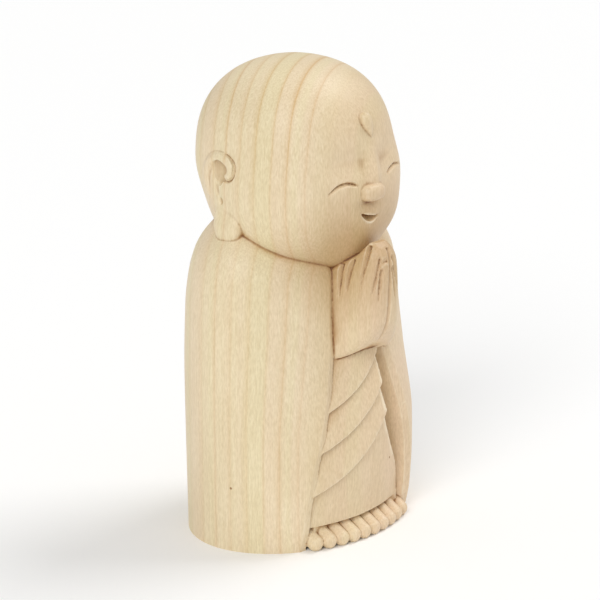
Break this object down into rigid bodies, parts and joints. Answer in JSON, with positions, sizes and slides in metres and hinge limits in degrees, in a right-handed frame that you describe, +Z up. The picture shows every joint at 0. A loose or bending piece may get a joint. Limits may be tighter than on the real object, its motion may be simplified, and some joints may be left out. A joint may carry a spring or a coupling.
{
  "type": "wooden jizo sculpture",
  "caption": "Small carved wooden praying figure with a round head, long ears, folded hands, a plain cloak over a draped robe, and toes under its hem.",
  "frame": {"origin": "on the flat underside, below the middle of the figure's head and shoulders", "axes": "+Z up along the figure's height, the figure looks along -Y, its own left is +X"},
  "size_m": [0.108, 0.0918, 0.2],
  "materials": {
    "carved_wood": "hand carved and sanded pale wood, left bare or thinly waxed, soft satin"
  },
  "bodies": {
    "root": {"jizo_figure": "carved_wood"}
  },
  "joints": []
}
